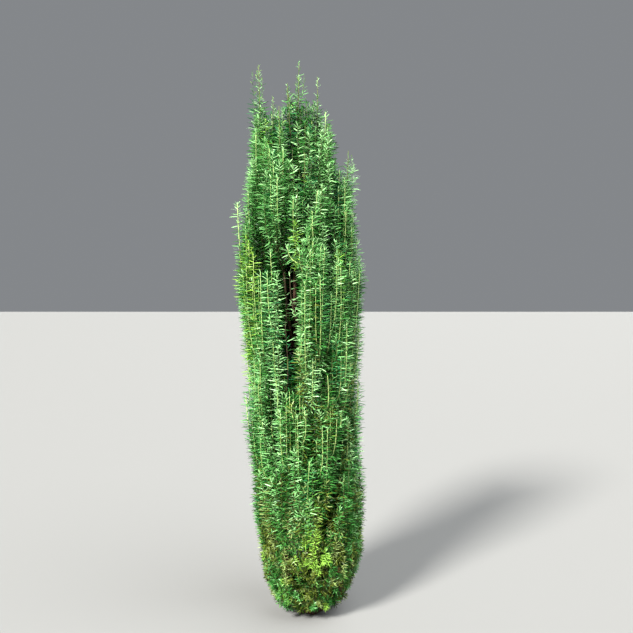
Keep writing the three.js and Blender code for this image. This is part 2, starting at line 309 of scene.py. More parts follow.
def outline_of(plume, fullness):
    """Points that a plume's space has to hold: its line, and a belly that is fuller or slimmer"""
    foot, belly = plume["foot"], plume["spec"]["belly"]
    on_line = bezier(plume["corners"], np.linspace(foot, 1, LINE_POINTS))
    rings = [
        bezier(plume["corners"], lerp(foot, 1, share)) + heading(360 / BELLY_SIDES * k) * belly * fullness
        for share in BELLY_SHARES
        for k in range(BELLY_SIDES)
    ]
    return np.concatenate([on_line, *rings])


def parted(here, there):
    """The way from one outline of a pair to the other, and where along it one ends and one starts"""
    rows = np.arange(len(here))
    way = there[:, LINE_POINTS // 2] - here[:, LINE_POINTS // 2]
    for _ in range(WALL_STEPS):
        low = np.einsum("pkx,px->pk", there, way).argmin(1)
        high = np.einsum("pkx,px->pk", here, way).argmax(1)
        edge = there[rows, low] - here[rows, high] - way
        size = (edge**2).sum(1)
        share = np.clip(-(way * edge).sum(1) / np.where(size == 0, 1, size), 0, 1)
        way = way + edge * share[:, None]
    way = unit(way)
    end = np.einsum("pkx,px->pk", here, way).max(1)
    start = np.einsum("pkx,px->pk", there, way).min(1)
    return way, end, start


def find_walls(plumes):
    """A wall midway between each two plumes, with the fullest bellies that leave room for one"""
    pairs = [(p, q) for p in range(len(plumes)) for q in range(p + 1, len(plumes))]
    walls = {}
    for fullness in np.arange(1, -0.01, -0.1):
        left = [pair for pair in pairs if pair not in walls]
        if not left:
            break
        outlines = np.stack([outline_of(plume, fullness) for plume in plumes])
        found = parted(outlines[[p for p, _ in left]], outlines[[q for _, q in left]])
        for pair, way, end, start in zip(left, *found):
            if start - end > 2 * STEM_CLEAR:
                walls[pair] = (way, (end + start) / 2)
    return walls


def lay_out_spaces(plumes):
    """Each plume's walls, and which of them stand between it and others of its tier"""
    for plume in plumes:
        for key in ("ways", "middles", "siblings"):
            plume[key] = []
    for (p, q), (way, middle) in find_walls(plumes).items():
        for plume, sign in ((plumes[p], 1), (plumes[q], -1)):
            plume["ways"].append(sign * way)
            plume["middles"].append(sign * middle)
            plume["siblings"].append(plumes[p]["tier"] == plumes[q]["tier"])
    for plume in plumes:
        plume["ways"] = np.array(plume["ways"]).T
        plume["middles"] = np.array(plume["middles"])
        plume["siblings"] = np.array(plume["siblings"])


def is_inside(plume, points, margin):
    """Whether points keep that far from the walls of a plume's space, and from the ground"""
    walled = (points @ plume["ways"] < plume["middles"] - np.reshape(margin, (-1, 1))).all(1)
    return walled & (points[:, 2] > GROUND_CLEAR + np.maximum(margin, 0))


def grow_twigs(plume, limbs):
    """The side twigs of a mass, as in the part's source"""
    draw = seeded(plume["seed"])
    corners, foot = plume["corners"], plume["foot"]
    length = length_of(bezier(corners, np.linspace(0, 1, FINE_POINTS)))
    others = [segments_of(bezier(corners, np.linspace(foot, 1, STEM_POINTS)))]
    twigs = []
    for _ in range(MOST_TRIES):
        if len(twigs) == plume["spec"]["twigs"]:
            break
        start = lerp(foot + TWIG_FOOT, LAST_START, draw() ** LOW_STARTS)
        end = min(start + TWIG_LENGTH * lerp(*LENGTHS, draw()) / length, TWIG_TOP)
        way = turned(plume["away"], FAN * (2 * draw() - 1))
        out = lerp(*SWING, draw())
        share = np.linspace(0, 1, TWIG_POINTS)
        line = bezier(corners, lerp(start, end, share)) + way * (out * swung_out(share))[:, None]
        upper = line[TWIG_FREE:]
        if (
            is_inside(plume, upper, CORE + GAP).all()
            and (depth_inside(upper) > NEEDLE_REACH * EDGE_CLEAR).all()
            and (distance_to_segments(upper, limbs) > CORE + LIMB_CLEAR).all()
            and (distance_to_segments(upper, joined_segments(others)) > TWIG_SPACING).all()
        ):
            others.append(segments_of(line))
            twigs.append(line)
    return twigs


def bough_line(plume, count):
    return resampled(bezier(plume["corners"], np.linspace(0, plume["bough"], CURVE_POINTS)), count)


def trunk_segments():
    heights = TRUNK_TIP * (np.arange(TRUNK_RINGS + 1) / TRUNK_RINGS) ** CLOSER_DOWN
    return segments_of(trunk_line(heights), trunk_radius(heights, 0))


def bough_segments(plume):
    radii = np.linspace(BOUGH_RADIUS, STEM_RADIUS, BOUGH_RINGS + 1)
    return segments_of(bough_line(plume, BOUGH_RINGS + 1), radii)


# Fine shoots. They are shorter and spread more near the ground, which changes between LOW_UNTIL's heights.
LOW_UNTIL = (160, 520)
SHOOT_LENGTH = (200, 500)
LOW_SHOOT_LENGTH = (45, 150)
SHORTEST = 40  # where there is little room above
SHOOT_OUT = (6, 98)  # how far it ends from its axis
NEAR_AXIS = 1.15  # the power by which more stay near it
SHOOT_WAY = (0.15, 0.85)  # as its axis, and straight up
RISING = (0.7, 0.3)  # evenly, and faster and faster
WOBBLE = 2.2
SHOOT_POINTS = 8
SHOOT_FREE = 2  # from this point on a shoot keeps its distances
STANDS_AT = 5  # the point that says where it stands
LAST_SHOOT = 0.97
OUTWARD = {"base": 0.4, "lower": 0.7, "upper": 0.7, "crown": 0.7}  # share of them on the outline's side
OUTWARD_SPREAD = 0.6  # in radians
TRIES = {"base": 8.0, "lower": 4.0, "upper": 4.0, "crown": 4.0}  # per mm of axis
SPRAWLING = 0.6  # share of short side shoots near the ground
SPRAWLING_TOP = 260
SPRAWLING_LENGTH = 0.35  # share of the others'

# How far above a mass's tip its shoots may end, where the tiers run into each other
ABOVE_TIPS = {"base": (-40, 170), "lower": (-60, 130), "upper": (-60, 110), "crown": (-60, 12)}
OVER_TIP = 12  # shoots end so far above a mass's tip
SLOPE = 0.45  # and others lower, by this share of their distance
FLAT_SLOPE = 0.1  # at the far right of the crown
RAGGED = 28
CROSSING = (85, 42)  # how far neighbouring masses' shoots mingle, low down and above
CROSSING_LESS = (450, 700)

EDGE = (22, 10)  # from the outline to the lines of shoots, on the left and on the right
BACK_EDGE = 9  # and this much more at the back
BACK_FROM = (60, 200)
OUTLINE_MIDDLE = -20
LEFT_TUFT = 14  # the lowest on the left reach this much further
TUFT_TOP = 280
TUFT_FADE = 120
TUFT_LEFT = (20, 120)
GROOVE = (38, 24)  # depth and half width of the furrows between masses
TOP_FROM = (1450, 1700)  # heights where the crown gets thinner and has less painted shade
TOP_GROOVE = 0.4  # share of the furrows' depth
FRONT = -30  # points with a smaller y are in front
FURROWS = [
    # x and height of the upper end and of the lower one, half width, depth
    (-72, 1325, -72, 1095, 44, 230),  # here the stems show
    (-72, 1090, -61, 920, 22, 65),
    (112, 700, 91, 530, 23, 58),
    (91, 530, 44, 372, 23, 58),
    (104, 1610, 110, 1440, 22, 46),
    (-34, 1740, -27, 1513, 26, 58),
]
BEHIND_FURROW = (25, 40)  # how much wider and higher the dense foliage behind the first one is

LEAD_SHOOTS = 3  # thin ones, for each mass of the crown
LEAD_ROOTS = (0.7, 0.85)  # shares of the stem
LEAD_OUT = (7, 26)
LEAD_LOWER = (0.12, 0.8)  # shares of the lead, below the tip
DRAWN_UP = 24  # how much further the crown's stems and leading shoots reach

CANOPY_TOP = 1950
TOP_DEPTH = 25  # points up there count as so deep
DOWN_DEPTH = 0.28  # and lower ones as deeper, by this share
SPACING = dict(outermost=16, behind=9.5, deep=17)  # between the lines of shoots
WIDE_FROM = (480, 700)  # heights from which the outermost stand wider
OUTERMOST_UNTIL = (20, 36)  # depths
DEEP_FROM = (45, 130)
SPACED_AT = [3, 5, 7]  # the points of a shoot that keep that distance
HEIGHT_COUNTS = 0.2  # of its square, in that distance's
CELL = 20  # of the grid of points taken

# Meshes of twigs and needles
AXIS_POINTS = 24
LEAFY_FROM = 0.9  # of the share of its line where a mass has its foot
TAPER = 0.8  # the power by which twigs get thinner early
LOW_POINT = 3  # tells lines that start near the ground

NEEDLE_LENGTH = 34
NEEDLE_WIDTH = 3.1
NEEDLE_STEP = 2.65  # along a shoot
FEWEST_NEEDLES = 6
LOW_SHARE = 0.56  # of these sizes, near the ground
LOW_WIDTH = 0.8  # and of the width once more
GOLDEN = math.radians(137.508)  # round it, from needle to needle
OFF_SPIRAL = 0.25
NEEDLE_LEAN = 9  # in degrees, up the shoot
LEAN_SPREAD = (24, 9)  # near the ground and above
LENGTH_SPREAD = (0.82, 1.08)
TIP_LENGTH = 34  # at a shoot's tip the needles are shorter and turned up
TIP_SHORTER = 0.5
TIP_LEAN = 50
LEAD_FROM = (-30, 40)  # about a mass's closed top
LEAD_SHORTER = 0.42
LEAD_WIDTH = 0.6
LEAD_LEAN = 26
FIRST_NEEDLES = 0.7  # share of their length
FIRST_UNTIL = 0.12  # share of the shoot
ROLL = 1.1  # about its own line
BEND = (-0.05, 0.07)  # mean and spread, as shares of the length
BLADE = [(0.02, 0), (0.2, -1), (0.2, 1), (0.72, -0.9), (0.72, 0.9), (1, 0)]  # shares of length and half width
BLADE_TRIANGLES = [[0, 2, 1], [1, 2, 4], [1, 4, 3], [3, 4, 5]]


def leafy_axis(plume):
    """The part of a mass's stem that shoots and needles grow on"""
    line = bezier(plume["corners"], np.linspace(plume["foot"] * LEAFY_FROM, 1, CURVE_POINTS))
    return resampled(line, AXIS_POINTS)


def shoot_roots(plume, axes, rng):
    """Where the shoots of a mass start, and the way on of their axes there"""
    roots, ways = [], []
    for axis in axes:
        count = int(length_of(axis) * TRIES[plume["tier"]])
        place = rng.uniform(0, LAST_SHOOT, count) * (len(axis) - 1)
        k = place.astype(int)
        roots.append(lerp(axis[k], axis[k + 1], (place - k)[:, None]))
        ways.append(unit(axis[k + 1] - axis[k]))
    return np.concatenate(roots), np.concatenate(ways)


def shoot_sides(plume, root, rng):
    """Where each shoot swings out to, more often towards the outline"""
    left, right = outline_at(root[:, 2])
    outward = np.arctan2(root[:, 1], root[:, 0] - (left + right) / 2)
    favoured = rng.random(len(root)) < OUTWARD[plume["tier"]]
    near = rng.normal(0, OUTWARD_SPREAD, len(root))
    anywhere = rng.uniform(-math.pi, math.pi, len(root))
    return level(outward + np.where(favoured, near, anywhere))


def shoot_lengths(plume, root, rng):
    """How long the shoots are, and how far above the mass's tip they may end"""
    many, height = len(root), root[:, 2]
    upright = smoothstep(height, *LOW_UNTIL)
    part = rng.random(many)
    long = lerp(lerp(*LOW_SHOOT_LENGTH, part), lerp(*SHOOT_LENGTH, part), upright)
    sprawling = (rng.random(many) < SPRAWLING * (1 - upright)) & (height < SPRAWLING_TOP)
    long = np.where(sprawling, long * SPRAWLING_LENGTH, long)
    above_tip = rng.uniform(*ABOVE_TIPS["crown"], many)
    if plume["tier"] != "crown":
        above_tip = rng.uniform(*ABOVE_TIPS[plume["tier"]], many)
    room = plume["corners"][3][2] + above_tip - height
    return np.where(long > room, np.maximum(room, SHORTEST), long), above_tip


def shoot_tops(plume, ends, above_tip, rng):
    """How high shoots may end: less with the distance from the mass's tip"""
    tip = plume["corners"][3]
    off_line = np.hypot(ends[:, 0] - tip[0], ends[:, 1] - tip[1])
    slope = FLAT_SLOPE if plume["name"] == "crown_far_right" else SLOPE
    top = tip[2] + OVER_TIP + np.maximum(above_tip, 0) - slope * off_line
    if plume["tier"] == "crown":
        top -= tip[2] - plume["closed"] + rng.uniform(0, RAGGED, len(ends))
    return top


def candidate_shoots(plume, axes, limbs):
    """Shoots that leave each axis, turn up beside it and end where the mass has room for them"""
    rng = np.random.default_rng(1000 + plume["seed"])
    root, along = shoot_roots(plume, axes, rng)
    side = shoot_sides(plume, root, rng)
    rise = unit(along * SHOOT_WAY[0] + UP * SHOOT_WAY[1])
    out = lerp(*SHOOT_OUT, rng.random(len(root)) ** NEAR_AXIS)
    long, above_tip = shoot_lengths(plume, root, rng)
    u = np.linspace(0, 1, SHOOT_POINTS)
    lines = (
        root[:, None]
        + side[:, None] * (out[:, None] * swung_out(u))[..., None]
        + rise[:, None] * (long[:, None] * (RISING[0] * u + RISING[1] * u**2))[..., None]
    )
    lines += rng.normal(0, WOBBLE, (len(root), 1, 3)) * np.sin(math.pi * u)[None, :, None]
    fits = lines[:, -1, 2] < shoot_tops(plume, lines[:, -1], above_tip, rng)
    upper = lines[:, SHOOT_FREE:].reshape(-1, 3)
    for passes in (
        is_inside(plume, upper, -lerp(*CROSSING, smoothstep(upper[:, 2], *CROSSING_LESS))),
        depth_inside(upper) > edge_at(upper) + groove_depth(plume, upper),
        distance_to_segments(upper, limbs) > LIMB_CLEAR,
        clear_of_furrows(lines.reshape(-1, 3)),
    ):
        fits &= passes.reshape(len(root), -1).all(1)
    return lines[fits]


def edge_at(points):
    """How far inside the outline the shoots' lines end"""
    x, y, height = points.T
    to_right = 0.5 + 0.5 * np.sin(np.arctan2(x - OUTLINE_MIDDLE, -y))
    inside = lerp(*EDGE, to_right) + BACK_EDGE * smoothstep(y, *BACK_FROM)
    tuft = LEFT_TUFT * smoothstep(TUFT_TOP - height, 0, TUFT_FADE) * smoothstep(-x, *TUFT_LEFT)
    return inside * lerp(LOW_SHARE, 1, smoothstep(height, *LOW_UNTIL)) - tuft


def groove_depth(plume, points):
    """The crown is furrowed from top to bottom where two masses of a tier meet"""
    if not plume["siblings"].any() or plume["tier"] == "base":
        return 0
    gap = (plume["middles"] - points @ plume["ways"])[:, plume["siblings"]].min(1)
    deep, half = GROOVE
    return deep * np.clip(1 - gap / half, 0, 1) * lerp(1, TOP_GROOVE, smoothstep(points[:, 2], *TOP_FROM))


def clear_of_furrows(points):
    """Whether points are outside FURROWS, which get shallower towards their sides"""
    clear = np.ones(len(points), bool)
    at = points[:, [0, 2]]
    depth = depth_inside(points)
    for x0, z0, x1, z1, half, deep in FURROWS:
        start, along = np.array([x0, z0]), np.array([x1 - x0, z1 - z0])
        share = np.clip((at - start) @ along / (along @ along), 0, 1)
        off = np.linalg.norm(at - start - share[:, None] * along, axis=1)
        clear &= (depth > deep * (1 - (off / half) ** 2)) | (off > half) | (points[:, 1] > FRONT)
    return clear


def clear_behind(points):
    """Whether points aren't behind the first furrow, through which the dense back shows"""
    x, high, _, low, half, _ = FURROWS[0]
    wider, higher = BEHIND_FURROW
    beside = np.abs(points[:, 0] - x) >= half + wider
    over = (points[:, 2] <= low - higher) | (points[:, 2] >= high + higher)
    return beside | over | (points[:, 1] <= FRONT)


def drawn_up(plume, lines):
    """Lines again, with what leads the foliage of the crown's masses drawn up"""
    if plume["tier"] != "crown":
        return lines
    lifted = lines.copy()
    lifted[..., 2] += DRAWN_UP * smoothstep(lines[..., 2], plume["closed"], plume["corners"][3][2])
    return lifted


def leading_shoots(plume):
    """Thin shoots beside the tip of a mass of the crown"""
    rng = np.random.default_rng(2000 + plume["seed"])
    tip = plume["corners"][3]
    lead = tip[2] - plume["closed"]
    root = bezier(plume["corners"], rng.uniform(*LEAD_ROOTS, LEAD_SHOOTS))
    angle = rng.uniform(-math.pi, math.pi, LEAD_SHOOTS)
    side = level(angle) * rng.uniform(*LEAD_OUT, LEAD_SHOOTS)[:, None]
    rise = tip[2] - lead * rng.uniform(*LEAD_LOWER, LEAD_SHOOTS) - root[:, 2]
    lean = (tip - root) / (tip - root)[:, 2:] * rise[:, None]
    u = np.linspace(0, 1, SHOOT_POINTS)[None, :, None]
    return root[:, None] + side[:, None] * swung_out(u) + lean[:, None] * u


def depth_below(points):
    """How deep in the foliage points are, from the outline or from the crown's top"""
    from_top = TOP_DEPTH + DOWN_DEPTH * np.maximum(CANOPY_TOP - points[:, 2], 0)
    return np.minimum(depth_inside(points), from_top)


def spacing_of(stands):
    """How far shoots keep from each other: further outermost and deep inside"""
    depth, height = depth_below(stands), stands[:, 2]
    outermost = lerp(SPACING["behind"], SPACING["outermost"], smoothstep(height, *WIDE_FROM))
    outer = lerp(outermost, SPACING["behind"], smoothstep(depth, *OUTERMOST_UNTIL))
    spacing = lerp(outer, SPACING["deep"], smoothstep(depth, *DEEP_FROM))
    return np.where(clear_behind(stands), spacing, SPACING["behind"])


def with_middles(lines):
    """The upper points of lines and those midway between them"""
    steps = range(SHOOT_FREE, SHOOT_POINTS - 1)
    upper = [lerp(lines[:, k : k + 1], lines[:, k + 1 : k + 2], t) for k in steps for t in (0, 0.5)]
    return np.concatenate(upper + [lines[:, -1:]], axis=1)


def has_room(points, near, grid):
    """Whether no point in the grid is nearer than that to one of these points"""
    reach = int(near // CELL) + 1
    for point in points:
        base = (point // CELL).astype(int)
        for i in range(base[0] - reach, base[0] + reach + 1):
            for j in range(base[1] - reach, base[1] + reach + 1):
                for k in range(base[2] - 1, base[2] + 2):
                    for other in grid.get((i, j, k), ()):
                        x, y, z = other - point
                        if x**2 + y**2 + HEIGHT_COUNTS * z**2 < near * near:
                            return False
    return True


def choose_shoots(candidates):
    """Of all candidates, in a drawn order, those that have room beside the ones taken before"""
    owner = np.repeat(np.arange(len(candidates)), [len(lines) for lines in candidates])
    lines = np.concatenate(candidates)
    spacing = spacing_of(lines[:, STANDS_AT])
    spaced, filled = lines[:, SPACED_AT], with_middles(lines)
    grid = {}
    taken = []
    for index in np.random.default_rng(5).permutation(len(lines)):
        if has_room(spaced[index], spacing[index], grid):
            taken.append(index)
            for point in filled[index]:
                grid.setdefault(tuple((point // CELL).astype(int)), []).append(point)
    taken = np.array(sorted(taken))
    return [lines[taken[owner[taken] == k]] for k in range(len(candidates))]


def frames_along(lines):
    """For a stack of polylines: the way on at each point, and two directions across it"""
    along = unit(np.gradient(lines, axis=1))
    flat = np.where(np.abs(along[..., :1]) > 0.8, [0.0, 1.0, 0.0], [1.0, 0.0, 0.0])
    side = unit(flat - (flat * along).sum(2, keepdims=True) * along)
    return along, side, np.cross(along, side)


def round_angles(sides):
    return 2 * math.pi * np.arange(sides) / sides


def wall_triangles(index):
    """Triangles between rings of vertices, which are numbered by ring and side"""
    following = np.roll(index, -1, axis=-1)
    a, b, c, d = index[..., :-1, :], following[..., :-1, :], following[..., 1:, :], index[..., 1:, :]
    return np.concatenate([np.stack(corners, -1).reshape(-1, 3) for corners in ((a, b, c), (a, c, d))])


def end_triangles(ring):
    """Triangles that close a ring of vertices"""
    fan = [np.stack([ring[..., 0], ring[..., k], ring[..., k + 1]], -1) for k in range(1, ring.shape[-1] - 1)]
    return np.concatenate([triangles.reshape(-1, 3) for triangles in fan])


def tubes(lines, start_radius, end_radius, sides):
    """Vertices and triangles of round, tapering twigs along a stack of polylines"""
    many, rings = lines.shape[:2]
    _, side, other = frames_along(lines)
    angle = round_angles(sides)
    thinner = np.linspace(0, 1, rings)[None, :] ** TAPER
    radius = start_radius[:, None] + (end_radius - start_radius)[:, None] * thinner
    ring = side[:, :, None] * np.cos(angle)[:, None] + other[:, :, None] * np.sin(angle)[:, None]
    verts = lines[:, :, None] + ring * radius[..., None, None]
    index = np.arange(many * rings * sides).reshape(many, rings, sides)
    return verts.reshape(-1, 3), np.concatenate([wall_triangles(index), end_triangles(index[:, -1])])


def hues_of(by_ring, sides):
    """The material of each triangle that tubes() makes"""
    wall = np.repeat(by_ring[..., None], sides, axis=2).ravel()
    return np.concatenate([wall, wall, *[by_ring[:, -1]] * (sides - 2)])


def needles(lines, seed, bare, closed):
    """Needles in a spiral along a stack of polylines. bare is the share of each without them."""
    rng = np.random.default_rng(seed)
    along, side, other = frames_along(lines)
    lengths = np.linalg.norm(np.diff(lines, axis=1), axis=2).sum(1)
    step = NEEDLE_STEP * lerp(LOW_SHARE, 1, smoothstep(lines[:, LOW_POINT, 2], *LOW_UNTIL))
    counts = np.maximum(FEWEST_NEEDLES, (lengths * (1 - bare) / step).astype(int))
    shoot = np.repeat(np.arange(len(lines)), counts)
    order = np.concatenate([np.arange(count) for count in counts])
    many = len(order)
    share = bare + (1 - bare) * (order + 0.5) / counts[shoot]
    place = share * (lines.shape[1] - 1)
    k = np.minimum(place.astype(int), lines.shape[1] - 2)
    t = (place - k)[:, None]

    def at(field):
        return lerp(field[shoot, k], field[shoot, k + 1], t)

    root, ahead = at(lines), at(along)
    low = smoothstep(root[:, 2], *LOW_UNTIL)
    leading = smoothstep(root[:, 2], closed + LEAD_FROM[0], closed + LEAD_FROM[1])
    tip = 1 - smoothstep((1 - share) * lengths[shoot], 0, TIP_LENGTH)

    angle = order * GOLDEN + rng.uniform(-OFF_SPIRAL, OFF_SPIRAL, many) + shoot
    radial = unit(at(side) * np.cos(angle)[:, None] + at(other) * np.sin(angle)[:, None])
    lean = rng.normal(NEEDLE_LEAN, lerp(*LEAN_SPREAD, low)) + TIP_LEAN * tip + LEAD_LEAN * leading * (1 - tip)
    lean = np.radians(lean)
    toward = radial * np.cos(lean)[:, None] + ahead * np.sin(lean)[:, None]

    size = NEEDLE_LENGTH * rng.uniform(*LENGTH_SPREAD, many)
    size = size * (1 - TIP_SHORTER * tip) * (1 - LEAD_SHORTER * leading)
    size *= lerp(FIRST_NEEDLES, 1, smoothstep(share - bare, 0, FIRST_UNTIL))
    size *= lerp(LOW_SHARE, 1, low)

    width = unit(np.cross(toward, ahead))
    roll = rng.uniform(-ROLL, ROLL, many)[:, None]
    width = width * np.cos(roll) + np.cross(width, toward) * np.sin(roll)
    half = NEEDLE_WIDTH / 2 * (lerp(1, LEAD_WIDTH, leading) * lerp(LOW_WIDTH, 1, low))
    return dict(
        root=root, toward=toward, width=width, half=half, face=np.cross(width, toward), size=size,
        bend=rng.normal(*BEND, many), share=share, shoot=shoot, leading=leading,
    )


def needle_mesh(placed):
    """Vertices and triangles of needles: slim, bent blades with a narrow root and a sharp tip"""
    size, half = placed["size"][:, None], placed["half"][:, None]
    bend = placed["face"] * size * placed["bend"][:, None]

    def point(share, across):
        on_line = placed["root"] + placed["toward"] * size * share + bend * (4 * share * (share - 1))
        return on_line + placed["width"] * (half * across)

    verts = np.stack([point(share, across) for share, across in BLADE], axis=1)
    first = len(BLADE) * np.arange(len(verts))[:, None, None]
    return verts.reshape(-1, 3), (first + np.array(BLADE_TRIANGLES)).reshape(-1, 3)


def new_object(name, data):
    made = bpy.data.objects.new(name, data)
    bpy.context.scene.collection.objects.link(made)
    return made


def add_piece(name, verts, tris, materials, material_index=None):
    mesh = bpy.data.meshes.new(name)
    mesh.vertices.add(len(verts))
    mesh.vertices.foreach_set("co", (verts * MM).astype(np.float32).ravel())
    mesh.loops.add(tris.size)
    mesh.loops.foreach_set("vertex_index", tris.astype(np.int32).ravel())
    mesh.polygons.add(len(tris))
    mesh.polygons.foreach_set("loop_start", np.arange(0, tris.size, tris.shape[1], dtype=np.int32))
    mesh.polygons.foreach_set("use_smooth", np.ones(len(tris), bool))
    for material in materials:
        mesh.materials.append(material)
    if material_index is not None:
        mesh.polygons.foreach_set("material_index", material_index.astype(np.int32))
    mesh.update(calc_edges=True)
    return new_object(name, mesh)


# Materials
def principled(name, colour, roughness, gloss=0.5):
    material = bpy.data.materials.new(name)
    material.use_nodes = True
    shader = material.node_tree.nodes["Principled BSDF"]
    shader.inputs["Base Color"].default_value = (*colour, 1)
    shader.inputs["Roughness"].default_value = roughness
    shader.inputs["Specular IOR Level"].default_value = gloss
    return material


# shade and deep stand for the shade in the foliage, painted shade; bright and pale are partly the light young
# growth and partly painted highlight
NEEDLE_COLOURS = {
    "shade": (0.003, 0.028, 0.002),
    "deep": (0.018, 0.100, 0.014),
    "blue": (0.028, 0.175, 0.055),
    "mid": (0.050, 0.225, 0.040),
    "bright": (0.160, 0.440, 0.125),
    "pale": (0.350, 0.670, 0.270),
    "lime": (0.270, 0.520, 0.065),
    "grass": (0.105, 0.300, 0.045),
    # painted shade: moss is a near-black olive for the shade between the shoots of the base
    "shade_olive": (0.020, 0.046, 0.004),
    "olive": (0.142, 0.190, 0.026),
    "dry": (0.290, 0.400, 0.120),
    "brown": (0.140, 0.100, 0.035),
}
GLOSS = {"bright": 0.4, "pale": 0.4, "lime": 0.3, "dry": 0.5}
LITTLE_GLOSS = 0.1
NEEDLE_ROUGHNESS = 0.38
NEEDLES = {
    key: principled(f"needles_{key}", colour, NEEDLE_ROUGHNESS, GLOSS.get(key, LITTLE_GLOSS))
    for key, colour in NEEDLE_COLOURS.items()
}
COLOUR = {key: index for index, key in enumerate(NEEDLES)}

STEM_COLOURS = {
    "green": (0.62, 0.80, 0.27),
    "tan": (0.13, 0.15, 0.04),
    # painted shade: near-black green for the stems of shoots deep inside
    "dark": (0.012, 0.030, 0.006),
    "bark": (0.045, 0.027, 0.012),
}
STEM_ROUGHNESS = 0.55
STEMS = {key: principled(f"twigs_{key}", colour, STEM_ROUGHNESS) for key, colour in STEM_COLOURS.items()}
HUE = {key: index for index, key in enumerate(STEMS)}

BARK_ROUGHNESS = 0.8
BARK_STRETCH = (75, 75, 11)
BARK_NOISE = dict(Scale=2.2, Detail=6)
BARK_BUMP = dict(Strength=0.9, Distance=0.004)
BARK_TONES = [(0.36, (0.030, 0.014, 0.009)), (0.5, (0.105, 0.044, 0.025)), (0.66, (0.150, 0.092, 0.062))]


def bark_material():
    material = bpy.data.materials.new("yew_bark")
    material.use_nodes = True
    tree = material.node_tree
    shader = tree.nodes["Principled BSDF"]
    shader.inputs["Roughness"].default_value = BARK_ROUGHNESS

    def node(kind, **values):
        made = tree.nodes.new(f"ShaderNode{kind}")
        for socket, value in values.items():
            made.inputs[socket].default_value = value
        return made

    where = node("TexCoord")
    stretched = node("Mapping", Scale=BARK_STRETCH)
    plates = node("TexNoise", **BARK_NOISE)
    bump = node("Bump", **BARK_BUMP)
    tones = node("ValToRGB")
    marks = tones.color_ramp.elements
    marks.new(BARK_TONES[1][0])
    for mark, (position, colour) in zip(marks, BARK_TONES):
        mark.position = position
        mark.color = (*colour, 1)
    for start, end in (
        (where.outputs["Object"], stretched.inputs["Vector"]),
        (stretched.outputs["Vector"], plates.inputs["Vector"]),
        (plates.outputs["Fac"], tones.inputs["Fac"]),
        (tones.outputs["Color"], shader.inputs["Base Color"]),
        (plates.outputs["Fac"], bump.inputs["Height"]),
        (bump.outputs["Normal"], shader.inputs["Normal"]),
    ):
        tree.links.new(start, end)
    return material


BARK = bark_material()

# The bark's relief: folds, and over them peeling strips or plates in steps, with flakes on them
TRUNK_GRID = (320, 80)
GRID_CLOSER = 1.25  # the power by which rings stand closer low down
TRUNK_RELIEF = (
    # sway of the pattern, its radians up the trunk, its cells round and up, its seed
    (0.03, 5, 7, 8, 13),
    (0.012, 30, 20, 26, 11),
    (0.01, 70, 38, 90, 12),
)
FOLD = 2.4
STRIP = 1.7
FLAKE = 0.5
TOP_RELIEF = 0.35  # share of it at the trunk's tip
TRUNK_INSET = 0.8
BOUGH_GRID = (60, 16)
PLATE_SWAY = (0.02, 20)
PLATES_ROUND = 6
PLATE_HEIGHT = 34
FLAKES_ROUND = 9
FLAKE_HEIGHT = 12
BOUGH_FLAKE = 0.35
BOUGH_INSET = 0.4
STEPS = 2.5  # in a strip's or plate's depth
FLAKED = 0.9  # how much the flakes shift a step's edge


def value_noise(u, v, across, up, seed):
    """Smooth noise from -1 to 1 that repeats round u, which goes from 0 to 1"""
    grid = np.random.default_rng(seed).uniform(-1, 1, (across, up + 2))
    x, y = (u % 1) * across, np.clip(v, 0, 1) * up
    i, j = x.astype(int) % across, np.minimum(y.astype(int), up)
    a, b = smoothstep(x - np.floor(x), 0, 1), smoothstep(y - np.floor(y), 0, 1)
    low = lerp(grid[i, j], grid[(i + 1) % across, j], a)
    high = lerp(grid[i, j + 1], grid[(i + 1) % across, j + 1], a)
    return lerp(low, high, b)


def stepped(plates, flakes):
    return np.floor(STEPS * plates + FLAKED * flakes)


def closed_skin(verts):
    """Vertices and triangles of a limb, from its vertices by ring and side"""
    index = np.arange(verts.size // 3).reshape(verts.shape[:2])
    tris = [wall_triangles(index), end_triangles(index[0])[:, ::-1], end_triangles(index[-1])]
    return verts.reshape(-1, 3), np.concatenate(tris)


def trunk_skin():
    """The trunk's bark. Its rings are level, as in the part, so that its foot is flat."""
    rings, sides = TRUNK_GRID
    heights = TRUNK_TIP * np.linspace(0, 1, rings) ** GRID_CLOSER
    height, angle = np.meshgrid(heights, round_angles(sides), indexing="ij")
    u, v = angle / (2 * math.pi), height / TRUNK_TIP
    folds, strips, flakes = (
        value_noise(u + sway * np.sin(waves * v), v, *cells) for sway, waves, *cells in TRUNK_RELIEF
    )
    relief = FOLD * folds + STRIP * stepped(strips, flakes) / STEPS + FLAKE * flakes
    radius = trunk_radius(height, angle) + relief * lerp(1, TOP_RELIEF, v) - TRUNK_INSET
    around = np.stack([radius * np.cos(angle), radius * np.sin(angle), np.zeros_like(angle)], -1)
    return closed_skin(trunk_line(heights)[:, None] + around)


def bough_skin(plume, seed):
    rings, sides = BOUGH_GRID
    line = bough_line(plume, rings)
    _, side, other = frames_along(line[None])
    ring, angle = np.meshgrid(np.arange(rings), round_angles(sides), indexing="ij")
    u, v = angle / (2 * math.pi), ring / (rings - 1)
    tall = length_of(line)
    sway, waves = PLATE_SWAY
    plates = value_noise(u + sway * np.sin(waves * v), v, PLATES_ROUND, int(tall / PLATE_HEIGHT) + 1, seed)
    flakes = value_noise(u, v, FLAKES_ROUND, int(tall / FLAKE_HEIGHT) + 1, seed + 1)
    relief = stepped(plates, flakes) / STEPS + BOUGH_FLAKE * flakes
    radius = lerp(BOUGH_RADIUS, STEM_RADIUS, v) + relief - BOUGH_INSET
    around = side[0][:, None] * np.cos(angle)[..., None] + other[0][:, None] * np.sin(angle)[..., None]
    return closed_skin(line[:, None] + around * radius[..., None])


def add_trunk():
    trunk = add_piece("trunk_bark", *trunk_skin(), [BARK])
    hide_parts("trunk")
    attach(trunk, "root")


